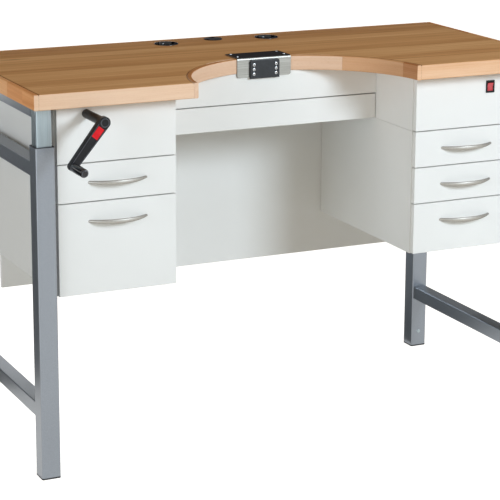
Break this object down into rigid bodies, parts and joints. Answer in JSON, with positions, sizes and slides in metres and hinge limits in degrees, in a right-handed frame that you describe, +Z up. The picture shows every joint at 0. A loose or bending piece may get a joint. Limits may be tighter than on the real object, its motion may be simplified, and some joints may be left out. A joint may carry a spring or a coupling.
{
  "type": "jewelers bench",
  "caption": "Height-adjustable jeweller's bench: beech worktop with a round cut-out and pin holder, hanging drawer pedestals, telescopic legs and a hand crank.",
  "frame": {"origin": "bottom centre of the bounding box, on the floor; the box includes the crank, which stands out in front of the worktop", "axes": "+Z up, the user's side with the cut-out towards -Y, +X to the user's right"},
  "size_m": [1.5, 0.8278, 1.0133],
  "materials": {
    "frame_paint": "smooth silver-grey powder coat",
    "tube_aluminium": "satin anodised extrusion",
    "foot_plastic": "matt black",
    "beech_top": "oiled, satin",
    "beech_lipping": "oiled, satin",
    "gloss_black": "gloss",
    "matte_black": "satin moulded",
    "bracket_steel": "brushed",
    "black_aluminium": "black anodised",
    "white_board": "white melamine, satin",
    "drawer_board": "light grey board",
    "handle_nickel": "satin nickel",
    "pump_metal": "cast",
    "red_plastic": "gloss"
  },
  "bodies": {
    "base": {"outer_leg_front_left": "frame_paint", "outer_leg_front_right": "frame_paint", "outer_leg_rear_left": "frame_paint", "outer_leg_rear_right": "frame_paint", "foot_and_lift_rod_front_left": "foot_plastic", "foot_and_lift_rod_front_right": "foot_plastic", "foot_and_lift_rod_rear_left": "foot_plastic", "foot_and_lift_rod_rear_right": "foot_plastic", "upper_side_rail_left": "frame_paint", "upper_side_rail_right": "frame_paint", "foot_rail_left": "frame_paint", "foot_rail_right": "frame_paint"},
    "top": {"inner_leg_front_left": "tube_aluminium", "inner_leg_front_right": "tube_aluminium", "inner_leg_rear_left": "tube_aluminium", "inner_leg_rear_right": "tube_aluminium", "top_rail_left": "frame_paint", "top_rail_right": "frame_paint", "worktop": "beech_top", "lipping_left": "beech_lipping", "lipping_right": "beech_lipping", "lipping_cutout_left": "beech_lipping", "lipping_cutout_right": "beech_lipping", "round_insert_left": "gloss_black", "round_insert_right": "gloss_black", "cable_grommet": "matte_black", "pin_bracket": "bracket_steel", "pin_dovetail_plate": "black_aluminium", "centre_apron": "white_board", "upper_panel_left": "white_board", "upper_panel_right": "white_board", "upper_side_outer_left": "white_board", "upper_side_outer_right": "white_board", "upper_side_inner_left": "white_board", "upper_side_inner_right": "white_board", "pedestal_left": "white_board", "pedestal_right": "white_board", "back_panel": "white_board", "lift_pump": "pump_metal", "switch_housing": "matte_black"},
    "left_drawer_1": {"left_drawer_1_front": "white_board", "left_drawer_1_box": "drawer_board", "left_drawer_1_handle": "handle_nickel"},
    "left_drawer_2": {"left_drawer_2_front": "white_board", "left_drawer_2_box": "drawer_board", "left_drawer_2_handle": "handle_nickel"},
    "right_drawer_1": {"right_drawer_1_front": "white_board", "right_drawer_1_box": "drawer_board", "right_drawer_1_handle": "handle_nickel"},
    "right_drawer_2": {"right_drawer_2_front": "white_board", "right_drawer_2_box": "drawer_board", "right_drawer_2_handle": "handle_nickel"},
    "right_drawer_3": {"right_drawer_3_front": "white_board", "right_drawer_3_box": "drawer_board", "right_drawer_3_handle": "handle_nickel"},
    "centre_drawer": {"centre_drawer_front": "white_board", "centre_drawer_box": "drawer_board"},
    "crank": {"crank": "matte_black"},
    "crank_grip": {"crank_grip": "matte_black"},
    "switch_rocker": {"switch_rocker": "red_plastic"}
  },
  "joints": [
    {"name": "lift", "type": "slide", "parent": "base", "child": "top", "axis": [0, 0, 1], "range_m": [-0.066, 0.234]},
    {"name": "left_drawer_1_slide", "type": "slide", "parent": "top", "child": "left_drawer_1", "axis": [0, -1, 0], "range_m": [0, 0.4]},
    {"name": "left_drawer_2_slide", "type": "slide", "parent": "top", "child": "left_drawer_2", "axis": [0, -1, 0], "range_m": [0, 0.4]},
    {"name": "right_drawer_1_slide", "type": "slide", "parent": "top", "child": "right_drawer_1", "axis": [0, -1, 0], "range_m": [0, 0.4]},
    {"name": "right_drawer_2_slide", "type": "slide", "parent": "top", "child": "right_drawer_2", "axis": [0, -1, 0], "range_m": [0, 0.4]},
    {"name": "right_drawer_3_slide", "type": "slide", "parent": "top", "child": "right_drawer_3", "axis": [0, -1, 0], "range_m": [0, 0.4]},
    {"name": "centre_drawer_slide", "type": "slide", "parent": "top", "child": "centre_drawer", "axis": [0, -1, 0], "range_m": [0, 0.22]},
    {"name": "crank_turn", "type": "hinge", "parent": "top", "child": "crank", "pos_m": [-0.59375, -0.3261, 0.942], "axis": [0, 1, 0], "continuous": true},
    {"name": "grip_spin", "type": "hinge", "parent": "crank", "child": "crank_grip", "pos_m": [-0.67646, -0.3761, 0.83913], "axis": [0, 1, 0], "continuous": true},
    {"name": "rocker_tilt", "type": "hinge", "parent": "top", "child": "switch_rocker", "pos_m": [0.58175, -0.1996, 0.925], "axis": [1, 0, 0], "range_deg": [-16, 0]}
  ],
  "couplings": [
    {"joint": "crank_turn", "follows": "lift", "rad_per_m": 1047.2}
  ]
}
